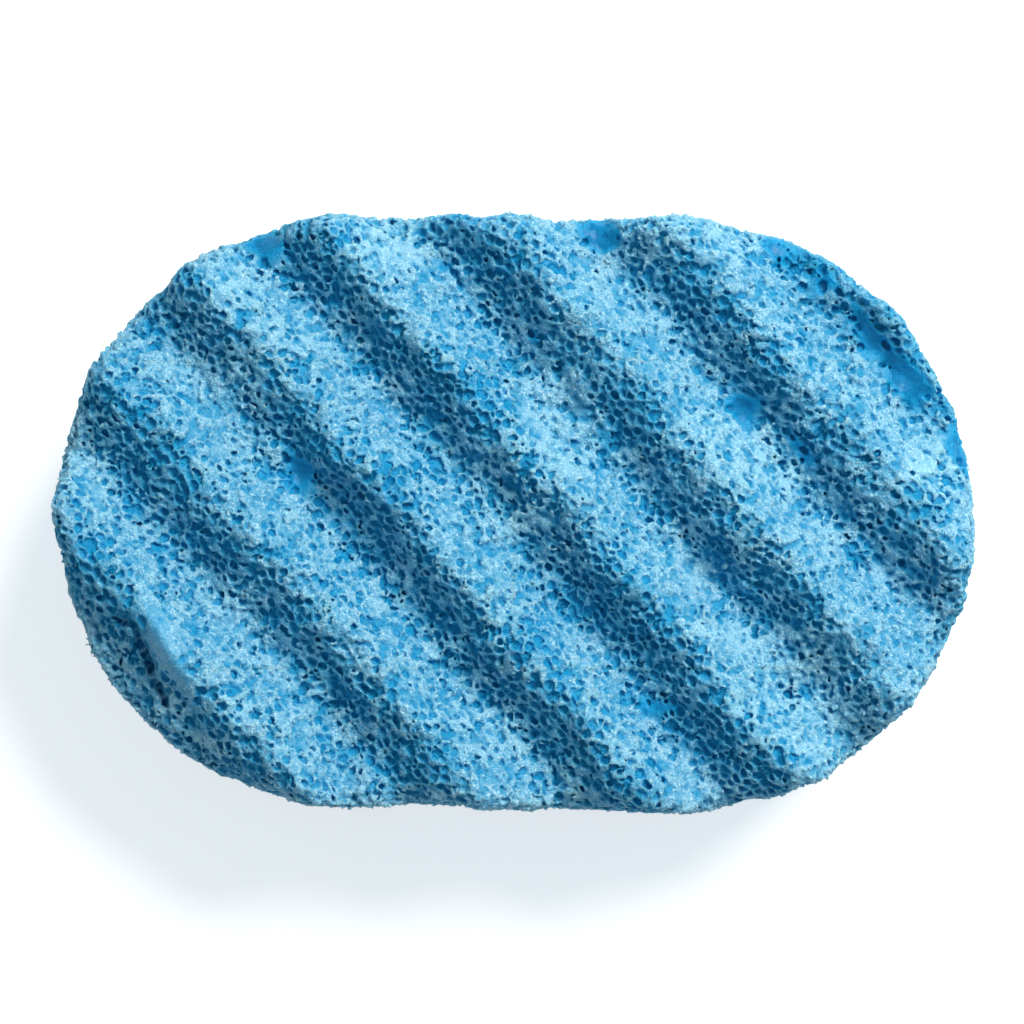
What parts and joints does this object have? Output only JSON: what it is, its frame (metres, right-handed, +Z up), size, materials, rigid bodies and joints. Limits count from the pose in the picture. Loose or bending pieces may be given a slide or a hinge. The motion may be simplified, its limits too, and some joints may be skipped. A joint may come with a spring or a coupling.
{
  "type": "soap sponge",
  "caption": "Oval block of open-celled blue foam soaked with soap, with rounded diagonal waves across its top, a rolled-over rim, a straight side wall and a flat base.",
  "frame": {"origin": "middle of the flat base, on the surface the sponge rests on", "axes": "+X along the length, +Y across the width, +Z up through the waves"},
  "size_m": [0.15, 0.098, 0.045],
  "materials": {
    "soapy_foam": "satin"
  },
  "bodies": {
    "root": {"sponge": "soapy_foam"}
  },
  "joints": []
}
